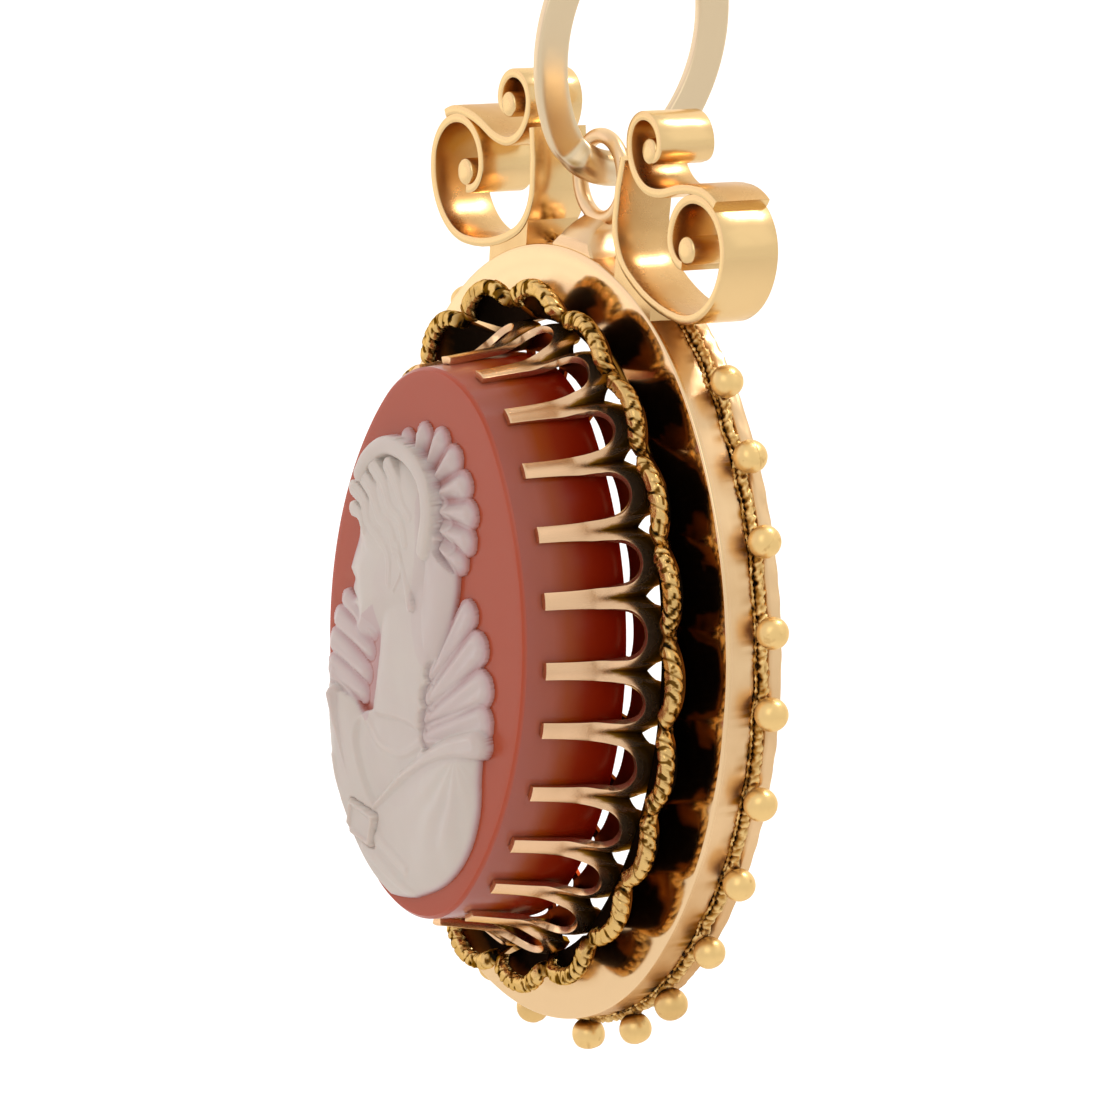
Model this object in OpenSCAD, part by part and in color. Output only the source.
// Oval hardstone cameo pendant in gold, hanging from a slender bail.
// The pendant is drawn lying on its back: X to the right, Y up the oval, Z towards the viewer,
// with Z = 0 on the front face of the mirror plate. It is then stood up, so that the front
// looks along -Y, and moved so that the origin is where the bail hangs.

/* [Frame] */
// Half of the frame's width
frame_half_w = 16.0; // [14.5:0.1:18]
// Half of the frame's height
frame_half_h = 19.0; // [18:0.1:22]
// Depth of the frame from its front face to its back rim
frame_depth = 3.0; // [2.8:0.1:4]
// Thickness of the front plate
plate_t = 0.6; // [0.4:0.05:0.9]
// Thickness of the side wall
frame_wall = 0.65; // [0.6:0.05:0.9]
// Height of the collar that the scalloped border stands on
collar_h = 0.2; // [0.15:0.05:0.5]
// Wall of that collar
collar_wall = 0.5; // [0.35:0.05:0.7]

/* [Bead border] */
// Diameter of the milled wire round the side
milled_wire_d = 0.7; // [0.5:0.05:0.8]
// Distance of the wire and the beads behind the front face
bead_line_back = 1.9; // [1.6:0.05:2.0]
// Diameter of one bead
bead_d = 1.6; // [1.2:0.05:1.8]
// Distance of the beads' centres outside the frame's side
bead_out = 0.95; // [0.8:0.05:1.1]
// Number of bead places round the whole side
bead_places = 27; // [23:2:29]
// Number of bead places left bare on each side of the top, under the scrolls
bead_bare = 3; // [3:1:4]
// Turn of the whole row of beads, in bead places
bead_turn = -0.2; // [-0.5:0.05:0.5]

/* [Scalloped border] */
// Number of lobes
lobe_count = 21; // [19:1:23]
// Radius of a lobe, to the middle of its rope, as a share of the distance between two lobes
lobe_fullness = 0.616; // [0.59:0.002:0.66]
// Distance of the lobes' centres inside the frame's edge
lobe_line = 4.3; // [4.1:0.05:4.6]
// Height of the lobes' rims above the plate, to the underside of the rope
lobe_rise = 1.35; // [1.1:0.05:1.6]
// Diameter of the rope wire
rope_d = 0.84; // [0.6:0.02:1.0]
// Thickness of the lobes' sheet
lobe_t = 0.3; // [0.2:0.05:0.5]

/* [Stone] */
// Half of the width of the stone's front face
stone_half_w = 9.1; // [8.6:0.1:9.6]
// Half of the height of the stone's front face
stone_half_h = 13.45; // [13.0:0.05:13.9]
// Distance of the stone's front face before the plate
stone_front = 6.85; // [6.4:0.05:7.4]
// Thickness of the stone
stone_t = 5.45; // [5.0:0.05:5.6]
// How far the stone's side flares out from front to back
stone_flare = 0.45; // [0.2:0.05:0.55]
// Bevel round the front face
stone_bevel = 0.12; // [0.05:0.01:0.3]
// Greatest height of the carved relief
relief_h = 1.0; // [0.6:0.05:1.4]

/* [Claw crown] */
// Number of claws
claw_count = 24; // [20:1:26]
// Turn of the whole row of claws, in claw pitches
claw_shift = -0.35; // [-0.5:0.05:0.5]
// Distance of the claws' tips behind the stone's front face
claw_tip_back = 1.0; // [0.4:0.05:1.3]
// Width of a claw at its tip
claw_tip_w = 0.74; // [0.6:0.02:0.9]
// Width of a claw at its root
claw_root_w = 1.12; // [0.9:0.02:1.3]
// Thickness of the claws' metal
claw_t = 0.36; // [0.25:0.01:0.45]
// Radius of a flute of the crown's wall
flute_r = 1.7; // [1.62:0.02:1.8]
// Distance of the notches' round ends before the plate
notch_floor = 1.15; // [1.0:0.05:1.4]
// Width of a notch between two claws
notch_w = 2.0; // [1.8:0.05:2.2]
// Drop of the crown's foot below the stone's middle; its top stays level with the stone's
foot_drop = 0.2; // [0:0.05:0.2]

/* [Scrolls and eyelet] */
// Height of the scrolls from their feet on the frame to their tops
scroll_h = 9.0; // [8.2:0.1:9.8]
// Thickness of the scrolls' ribbon
ribbon_t = 0.45; // [0.35:0.05:0.55]
// Depth of the scrolls from front to back
ribbon_depth = 3.0; // [2.6:0.1:3.2]
// Diameter of the bulb that ends each large scroll
large_bulb_d = 1.35; // [1.1:0.05:1.5]
// Diameter of the bulb that ends each small scroll
small_bulb_d = 1.25; // [1.0:0.05:1.4]
// Diameter of the eyelet's wire
eyelet_wire_d = 0.75; // [0.6:0.05:0.85]
// Diameter of the eyelet's ring to the middle of its wire
eyelet_ring_d = 3.95; // [3.85:0.05:4.3]
// Height of the eyelet's middle above the frame's top
eyelet_up = 3.4; // [3.3:0.05:3.8]
// Distance of the eyelet's middle behind the front face
eyelet_back = 1.6; // [1.3:0.05:1.7]

/* [Bail] */
// Half of the bail's width, to the middle of its metal
bail_half_w = 4.4; // [4.2:0.1:5]
// Half of the bail's height, to the middle of its metal
bail_half_h = 6.4; // [6.2:0.1:7.5]
// Width of the bail's strip in the plane of the loop
bail_strip_w = 1.62; // [1.4:0.02:1.7]
// Thickness of the bail's strip
bail_strip_t = 0.6; // [0.5:0.05:0.9]
// Angle at which the bail leans back
bail_lean = 10.5; // [0:0.5:15]

/* [Fit] */
// Gap between pieces that are fitted or soldered on
fit_gap = 0.05; // [0.03:0.01:0.08]
// Gap between the bail's bar and the eyelet that hangs on it
hang_gap = 0.27; // [0.2:0.01:0.35]

/* [Hidden] */
$fn = 96;
gold_front = "#D8B498";
gold_side = "#DCC088";
gold_dark = "#6B4A1C";
agate_red = "#9C3A22";
agate_white = "#D6CBC2";

// An oval of four arcs is [half width, half height, half angle of its end arcs].
end_arc = 50;
function arc_share(o) = 1 / cos(o[2]) - tan(o[2]);
function end_r(o) = (o[0] - arc_share(o) * o[1]) / (1 - arc_share(o));
function side_r(o) = end_r(o) + (o[1] - end_r(o)) / cos(o[2]);
function grown(o, d) = [o[0] + d, o[1] + d, o[2]];

// Direction of the outward normal, anticlockwise from +X, at a length along the oval
// measured clockwise from its top.
function end_len(o) = end_r(o) * o[2] * PI / 180;
function quarter_len(o) = end_len(o) + side_r(o) * (90 - o[2]) * PI / 180;
function from_top(o, s) = s <= end_len(o) ? s / end_r(o) * 180 / PI
    : o[2] + (s - end_len(o)) / side_r(o) * 180 / PI;
function turned(o, s, q) = s <= q ? from_top(o, s)
    : s <= 2 * q ? 180 - from_top(o, 2 * q - s)
    : s <= 3 * q ? 180 + from_top(o, s - 2 * q)
    : 360 - from_top(o, 4 * q - s);
function normal_at(o, place, places) =
    let (q = quarter_len(o), whole = 4 * q, s = place / places * whole)
    90 - turned(o, s - whole * floor(s / whole), q);
function point_at(o, n) =
    let (tilt = abs(asin(cos(n))), up = sign(sin(n)), right = sign(cos(n)))
    tilt <= o[2]
        ? [end_r(o) * cos(n), up * (o[1] - end_r(o)) + end_r(o) * sin(n)]
        : [right * (o[0] - side_r(o)) + side_r(o) * cos(n), side_r(o) * sin(n)];

// Outline of an oval, its corners at equal turns of the normal.
oval_steps = 120;
function oval_points(o) = [for (i = [0 : oval_steps - 1]) point_at(o, i * 360 / oval_steps)];

// A band round the oval between two distances outside it and between two heights.
module oval_band(o, inner, outer, low, high) {
    translate([0, 0, low]) linear_extrude(high - low) difference() {
        polygon(oval_points(grown(o, outer)));
        polygon(oval_points(grown(o, inner)));
    }
}
module oval_plate(o, out, low, high) {
    translate([0, 0, low]) linear_extrude(high - low) polygon(oval_points(grown(o, out)));
}

// Carries a profile, drawn as [distance outside the oval, height], round the whole oval.
module round_oval(o) {
    for (up = [1, -1])
        translate([0, up * (o[1] - end_r(o)), 0])
            rotate([0, 0, up * 90 - o[2]])
                rotate_extrude(angle = 2 * o[2]) translate([end_r(o), 0]) children();
    for (right = [1, -1])
        translate([right * (o[0] - side_r(o)), 0, 0])
            rotate([0, 0, (right > 0 ? 0 : 180) - (90 - o[2])])
                rotate_extrude(angle = 2 * (90 - o[2])) translate([side_r(o), 0]) children();
}

// Places its children round the oval with their X axis along the outward normal.
module at_places(o, places, shift = 0, first = 0, last = undef) {
    for (i = [first : is_undef(last) ? places - 1 : last]) {
        n = normal_at(o, i + shift, places);
        p = point_at(o, n);
        translate([p[0], p[1], 0]) rotate([0, 0, n]) children();
    }
}

// A ribbon runs through a chain of arcs. Each arc is [radius, sweep], where a sweep above
// zero turns left. The chain starts at a point with a heading.
ribbon_step = 12;
function arc_end(p, h, arc) =
    let (side = sign(arc[1]), c = p + side * arc[0] * [-sin(h), cos(h)], h2 = h + arc[1])
    [c - side * arc[0] * [-sin(h2), cos(h2)], h2];
function ribbon_path(p, h, arcs, i = 0) = i == len(arcs) ? [[p, h]] :
    let (arc = arcs[i], next = arc_end(p, h, arc), count = ceil(abs(arc[1]) / ribbon_step))
    concat([for (k = [0 : count - 1]) arc_end(p, h, [arc[0], arc[1] * k / count])],
        ribbon_path(next[0], next[1], arcs, i + 1));
module ribbon(p, h, arcs, t) {
    path = ribbon_path(p, h, arcs);
    polygon(concat(
        [for (e = path) e[0] + t / 2 * [-sin(e[1]), cos(e[1])]],
        [for (k = [len(path) - 1 : -1 : 0]) path[k][0] - t / 2 * [-sin(path[k][1]), cos(path[k][1])]]));
}

// A flat disc and a piece of a flat ring, both with straight short sides.
function disc_points(r, count) = [for (i = [0 : count - 1]) r * [cos(i * 360 / count), sin(i * 360 / count)]];
function ring_piece(r0, r1, half, count) = concat(
    [for (i = [0 : count]) r1 * [cos(half * (2 * i / count - 1)), sin(half * (2 * i / count - 1))]],
    [for (i = [count : -1 : 0]) r0 * [cos(half * (2 * i / count - 1)), sin(half * (2 * i / count - 1))]]);

frame_oval = [frame_half_w, frame_half_h, end_arc];
stone_oval = [stone_half_w, stone_half_h, end_arc];
foot_oval = [stone_half_w, stone_half_h + foot_drop, end_arc];
lobe_oval = grown(frame_oval, -lobe_line);
lobe_r = lobe_fullness * 4 * quarter_len(lobe_oval) / lobe_count;
stone_back = stone_front - stone_t;
milled_groove_d = milled_wire_d + 2 * fit_gap;
wire_out = fit_gap;

// The flutes' circles run on an oval just outside the foot, and their crests set the
// opening in the border, the collar and the plate.
flute_line = 0.2;
crest = flute_line + flute_r;
opening = crest + fit_gap;
flute_top = notch_floor + 1.25;
crown_foot = collar_h / 2;
arch_top = notch_floor - 0.4;
ledge_top = notch_floor - fit_gap;
ledge_t = 0.2;
ledge_in = stone_flare + 0.15;
claw_root = stone_flare + fit_gap + 0.2;
claw_len = stone_front - claw_tip_back - notch_floor;
claw_tip_out = fit_gap + stone_flare * claw_tip_back / stone_t;
seat_t = 0.25;
seat_in = -0.7;
seat_out = 0;

// The bail's bar passes through the eyelet, and the arc at its bottom is centred on the
// axis that the pendant swings about.
bail_oval = [bail_half_w, bail_half_h, 55];
bar_d = sqrt(bail_strip_w * bail_strip_w + bail_strip_t * bail_strip_t) + 0.03;
bar_arc = 22;
eyelet_y = frame_half_h + eyelet_up;
eyelet_hole_top = eyelet_y + eyelet_ring_d / 2 - eyelet_wire_d / 2;
bar_y = eyelet_hole_top - hang_gap - bar_d / 2;
swing_y = bar_y + end_r(bail_oval) * cos(bail_lean);
swing_back = eyelet_back + end_r(bail_oval) * sin(bail_lean);
hang_len = 2 * bail_half_h - end_r(bail_oval) - bail_strip_w / 2;
hang_y = swing_y + hang_len * cos(bail_lean);
hang_back = swing_back + hang_len * sin(bail_lean);

// The claws stand a little unevenly. The steps are in claw pitches and repeat.
claw_steps = [0, -0.04, -0.08, -0.12, -0.1, -0.08, 0.02, -0.02, 0.06, 0.08, 0.08, 0.03];
function claw_place(i) = i + claw_shift + claw_steps[(i % claw_count) % len(claw_steps)];
function flute_place(i) = (claw_place(i) + claw_place(i + 1)) / 2;

// Moves what follows the crown's foot down to it.
module at_foot() {
    translate([0, -foot_drop, 0]) children();
}

// Stands the lying pendant up with the hanging point at the origin.
module hung() {
    translate([0, -hang_back, -hang_y]) rotate([90, 0, 0]) children();
}

module stone() {
    band = 4;
    color(agate_red) hung() {
        round_oval(stone_oval) polygon([
            [-band, stone_back], [stone_flare - stone_bevel, stone_back],
            [stone_flare, stone_back + stone_bevel], [0, stone_front - stone_bevel],
            [-stone_bevel, stone_front], [-band, stone_front]]);
        translate([0, 0, stone_back]) linear_extrude(stone_t)
            polygon([for (n = [0 : 15 : 345]) point_at(grown(stone_oval, -band / 2), n)]);
    }
}

// Outline of the bust: [height, left edge, right edge], as shares of the half sizes of the
// stone's face, from the cut of the bust up to the crown of the head.
bust_rows = [
    [-0.925, -0.18, 0.22], [-0.90, -0.33, 0.46], [-0.80, -0.52, 0.66], [-0.62, -0.74, 0.78],
    [-0.40, -0.88, 0.80], [-0.18, -0.92, 0.80], [0.00, -0.86, 0.76], [0.09, -0.70, 0.66],
    [0.16, -0.62, 0.50], [0.26, -0.66, 0.46], [0.40, -0.70, 0.50], [0.52, -0.67, 0.48],
    [0.64, -0.58, 0.40], [0.74, -0.42, 0.26], [0.81, -0.22, 0.06]];
// Swellings of the relief: [x, height, half width, half height, rise], shares as above and
// of the relief's height. Head, hair at the nape, neck, shoulders, breast and collar.
bust_forms = [
    [-0.16, 0.47, 0.50, 0.34, 1.00], [0.20, 0.44, 0.26, 0.26, 0.80], [-0.14, 0.60, 0.42, 0.20, 0.95],
    [-0.22, 0.10, 0.24, 0.34, 0.62], [0.30, -0.50, 0.48, 0.36, 0.95], [-0.30, -0.50, 0.56, 0.34, 0.72],
    [0.00, -0.72, 0.50, 0.24, 0.85], [-0.66, -0.16, 0.26, 0.30, 0.50], [0.56, -0.10, 0.26, 0.30, 0.50]];
bust_edge = 0.18;
bust_row_count = 16;
bust_col_count = 10;
function row_edge(h, col) = lookup(h, [for (r = bust_rows) [r[0], r[col]]]);
function form_rise(x, y, f) =
    let (u = (x - f[0]) / f[2], v = (y - f[1]) / f[3], left = 1 - u * u - v * v)
    left > 0 ? f[4] * sqrt(left) : 0;
function bust_rise(x, y, edge) =
    let (body = max([for (f = bust_forms) form_rise(x, y, f)]))
    relief_h * (bust_edge + (max(body, 0.3) - bust_edge) * min(1, edge * 9));
function bust_point(i, j) =
    let (h = bust_rows[0][0] + (bust_rows[len(bust_rows) - 1][0] - bust_rows[0][0]) * i / bust_row_count,
         t = j / bust_col_count, l = row_edge(h, 1), r = row_edge(h, 2), x = l + (r - l) * t,
         edge = min(t, 1 - t, i / bust_row_count, 1 - i / bust_row_count))
    [x * stone_half_w, h * stone_half_h, bust_rise(x, h, edge)];

module relief() {
    per_row = bust_col_count + 1;
    top = [for (i = [0 : bust_row_count]) for (j = [0 : bust_col_count]) bust_point(i, j)];
    base = [for (p = top) [p[0], p[1], 0]];
    count = len(top);
    rim = concat(
        [for (j = [0 : bust_col_count]) j],
        [for (i = [1 : bust_row_count]) i * per_row + bust_col_count],
        [for (j = [bust_col_count - 1 : -1 : 0]) bust_row_count * per_row + j],
        [for (i = [bust_row_count - 1 : -1 : 1]) i * per_row]);
    surface_faces = [for (i = [0 : bust_row_count - 1]) for (j = [0 : bust_col_count - 1])
        let (a = i * per_row + j) each [[a, a + per_row, a + 1], [a + 1, a + per_row, a + per_row + 1]]];
    side_faces = [for (k = [0 : len(rim) - 1])
        let (a = rim[k], b = rim[(k + 1) % len(rim)]) [a, b, b + count, a + count]];
    base_face = [for (k = [0 : len(rim) - 1]) rim[k] + count];
    color(agate_white) hung() translate([0, 0, stone_front])
        polyhedron(concat(top, base), concat(surface_faces, side_faces, [base_face]));
}

// A flat claw from the foot to its tip on the stone's side.
module claw(i) {
    n = normal_at(foot_oval, claw_place(i), claw_count);
    m = normal_at(stone_oval, claw_place(i), claw_count);
    root = point_at(foot_oval, n) + claw_root * [cos(n), sin(n)] - [0, foot_drop];
    run = point_at(stone_oval, m) + claw_tip_out * [cos(m), sin(m)] - root;
    inwards = run[0] * cos(n) + run[1] * sin(n);
    sideways = run[1] * cos(n) - run[0] * sin(n);
    tall = norm([inwards, sideways, claw_len]);
    deep = 0.75 * (notch_floor - arch_top);
    translate([root[0], root[1], notch_floor]) rotate([0, 0, n])
        rotate([-atan2(sideways, claw_len), 0, 0]) rotate([0, asin(inwards / tall), 0]) rotate([90, 0, 90])
            linear_extrude(claw_t) polygon([
                [-claw_root_w / 2, -deep], [claw_root_w / 2, -deep], [claw_root_w / 2, 0],
                [claw_tip_w / 2, tall], [-claw_tip_w / 2, tall], [-claw_root_w / 2, 0]]);
}
// The claws' roots stand over small arches, which leave the crown on feet.
module arch() {
    half = 0.45 * claw_root_w;
    translate([0, 0, -plate_t]) rotate([90, 0, 90]) linear_extrude(2 * flute_r) polygon([
        [-half, 0], [half, 0], [half, plate_t + 0.7 * arch_top], [half / 2, plate_t + arch_top],
        [-half / 2, plate_t + arch_top], [-half, plate_t + 0.7 * arch_top]]);
}
module notch() {
    reach = 2 * flute_r + flute_line;
    middle = notch_floor + notch_w / 2;
    rotate([90, 0, 90]) linear_extrude(reach) polygon(concat(
        [[-notch_w / 2, middle + reach]],
        [for (a = [180 : 15 : 360]) [notch_w / 2 * cos(a), middle + notch_w / 2 * sin(a)]],
        [[notch_w / 2, middle + reach]]));
}
module at_flutes() {
    for (i = [0 : claw_count - 1])
        at_foot() at_places(grown(foot_oval, flute_line), claw_count, flute_place(i), 0, 0) children();
}
module claw_crown() {
    bridge = 0.5;
    color(gold_dark) hung() {
        difference() {
            translate([0, 0, crown_foot]) linear_extrude(flute_top - crown_foot) difference() {
                at_flutes() polygon(disc_points(flute_r, 36));
                at_flutes() polygon(disc_points(flute_r - claw_t, 36));
                polygon(oval_points(grown(stone_oval, stone_flare + fit_gap)));
            }
            at_flutes() notch();
            for (i = [0 : claw_count - 1])
                at_foot() at_places(foot_oval, claw_count, claw_place(i), 0, 0) arch();
        }
        translate([0, 0, ledge_top - ledge_t]) linear_extrude(ledge_t) difference() {
            union() {
                at_flutes() polygon(disc_points(flute_r - claw_t / 2, 36));
                at_foot() polygon(oval_points(grown(foot_oval, ledge_in + claw_t)));
            }
            polygon(oval_points(grown(stone_oval, ledge_in)));
        }
        for (i = [0 : claw_count - 1]) claw(i);
        oval_band(stone_oval, seat_in, seat_out, stone_back - fit_gap - seat_t, stone_back - fit_gap);
        for (i = [0 : claw_count - 1])
            at_places(stone_oval, claw_count, claw_place(i), 0, 0)
                translate([seat_in + 0.1, -bridge / 2, ledge_top - ledge_t / 2])
                    cube([ledge_in + 0.3 - seat_in, bridge, seat_t]);
    }
}

// The lobes are shallow cups: a floor on the collar, a rim that rises to the rope, and the
// rope in two layers.
module lobe_ring(r0, r1, half, low, high) {
    translate([0, 0, low]) linear_extrude(high - low)
        at_places(lobe_oval, lobe_count) polygon(ring_piece(r0, r1, half, 12));
}
module scallop_border() {
    low = collar_h + fit_gap;
    color(gold_dark) hung() {
        translate([0, 0, low]) linear_extrude(lobe_t) difference() {
            union() {
                at_places(lobe_oval, lobe_count) polygon(disc_points(lobe_r - rope_d / 4, 36));
                polygon(oval_points(grown(lobe_oval, 0.62 * lobe_r)));
            }
            at_foot() polygon(oval_points(grown(foot_oval, opening)));
        }
        lobe_ring(lobe_r - lobe_t, lobe_r + lobe_t / 3, 50, low + lobe_t / 2, lobe_rise);
        lobe_ring(lobe_r - rope_d / 2, lobe_r + rope_d / 2, 57.5, lobe_rise - 0.1, lobe_rise + rope_d * 0.6);
        lobe_ring(lobe_r - rope_d / 4, lobe_r + rope_d / 4, 57.5, lobe_rise + rope_d * 0.5, lobe_rise + rope_d);
    }
}

module frame() {
    color(gold_front) hung() difference() {
        union() {
            oval_plate(frame_oval, 0, -plate_t, 0);
            at_foot() oval_plate(foot_oval, opening + collar_wall, -plate_t / 2, collar_h);
            oval_band(frame_oval, -frame_wall, 0, -frame_depth, -plate_t / 2);
        }
        at_foot() oval_plate(foot_oval, opening, -2 * plate_t, 2 * collar_h);
        oval_band(frame_oval, wire_out - milled_groove_d / 2, milled_groove_d,
            -bead_line_back - milled_groove_d / 2, -bead_line_back + milled_groove_d / 2);
    }
}

// Small uneven steps of the beads, in bead places, repeated round the row.
bead_steps = [0.1, -0.05, -0.05, 0.15, 0.05, 0, 0, -0.1, -0.05, 0, 0.05];
module bead_border() {
    color(gold_side) hung() {
        for (layer = [[0.5, 0.21], [0.38, 0.36], [0.22, 0.5]])
            oval_band(frame_oval, wire_out - layer[0] * milled_wire_d, wire_out + layer[0] * milled_wire_d,
                -bead_line_back - layer[1] * milled_wire_d, -bead_line_back + layer[1] * milled_wire_d);
        for (i = [bead_bare : bead_places - bead_bare])
            at_places(frame_oval, bead_places, bead_turn + bead_steps[i % len(bead_steps)], i, i)
                translate([bead_out, 0, -bead_line_back]) sphere(d = bead_d, $fn = 48);
    }
}

// What a soldered foot has to clear: the frame's side with the milled wire on it.
module frame_clearance() {
    wire_reach = wire_out + milled_wire_d / 2 + fit_gap;
    oval_plate(frame_oval, fit_gap, -2 * frame_depth, frame_depth);
    oval_plate(frame_oval, wire_reach, -bead_line_back - milled_groove_d / 2,
        -bead_line_back + milled_groove_d / 2);
}

// The large scroll starts inside its curl, goes over the top, down the outside, along the
// frame and up the inner side. The small one starts in its bulb, goes over the top and
// down beside the first, and turns out in an S on to the large scroll's top. Both are drawn
// from the middle of their foot on the frame, for scrolls of the drawn height.
scroll_drawn_h = 9.0;
scroll_k = scroll_h / scroll_drawn_h;
foot_normal = 61;
large_start = [2.83, 2.87];
large_arcs = [[1.2, -90], [2.1, -90], [2.4, -90], [3.4, -90], [9.0, -30], [2.8, -60], [12.0, -14]];
large_bulb = [3.08, 3.64];
small_start = [-0.37, 7.34];
small_arcs = [[0.6, 90], [1.3, 180], [2.15, 90], [4.0, 22], [6.7, -22], [2.85, -30]];
small_bulb = [-0.57, 7.64];
foot_at = [-1.32, 0.79];
foot_size = [3.2, 1.1];
function scaled(arcs) = [for (a = arcs) [a[0] * scroll_k, a[1]]];

module scroll() {
    root = point_at(frame_oval, foot_normal);
    translate([root[0], root[1], -ribbon_depth]) {
        linear_extrude(ribbon_depth) {
            ribbon(large_start * scroll_k, 180, scaled(large_arcs), ribbon_t);
            ribbon(small_start * scroll_k, 0, scaled(small_arcs), ribbon_t);
            translate(large_bulb * scroll_k) polygon(disc_points(large_bulb_d / 2, 24));
            translate(small_bulb * scroll_k) polygon(disc_points(small_bulb_d / 2, 24));
        }
    }
    difference() {
        translate([root[0] + foot_at[0] * scroll_k, root[1] + foot_at[1] * scroll_k, -ribbon_depth / 2])
            rotate([0, 0, foot_normal - 90])
                cube([foot_size[0] * scroll_k, foot_size[1] * scroll_k, ribbon_depth * 0.8], center = true);
        frame_clearance();
    }
}
module scroll_right() {
    color(gold_side) hung() scroll();
}
module scroll_left() {
    color(gold_side) hung() mirror([1, 0, 0]) scroll();
}

// Right half of the neck's outline: [half width, height above the frame's top].
neck_rows = [[2.9, -0.55], [2.3, 0.1], [1.75, 0.45], [1.3, 0.8], [1.05, 1.15], [1.0, 1.55]];
module eyelet() {
    neck_depth = 2 * (eyelet_back - 0.5);
    neck_k = eyelet_up / 3.4;
    color(gold_front) hung() {
        translate([0, eyelet_y, -eyelet_back])
            rotate_extrude() translate([eyelet_ring_d / 2, 0]) circle(d = eyelet_wire_d, $fn = 48);
        difference() {
            translate([0, frame_half_h, -eyelet_back - neck_depth / 2]) linear_extrude(neck_depth)
                polygon(neck_k * concat(neck_rows,
                    [for (i = [len(neck_rows) - 1 : -1 : 0]) [-neck_rows[i][0], neck_rows[i][1]]]));
            frame_clearance();
        }
    }
}

module bail() {
    c = bail_half_h - end_r(bail_oval);
    color(gold_side) translate([0, swing_back - hang_back, swing_y - hang_y])
        rotate([-bail_lean, 0, 0]) translate([0, 0, c]) rotate([90, 0, 90]) {
            oval_band(bail_oval, -bail_strip_w / 2, bail_strip_w / 2, -bail_strip_t / 2, bail_strip_t / 2);
            translate([0, -c, 0]) rotate([0, 0, -90 - bar_arc])
                rotate_extrude(angle = 2 * bar_arc) translate([end_r(bail_oval), 0])
                    circle(d = bar_d, $fn = 48);
        }
}

stone();
relief();
claw_crown();
scallop_border();
frame();
bead_border();
scroll_left();
scroll_right();
eyelet();
bail();
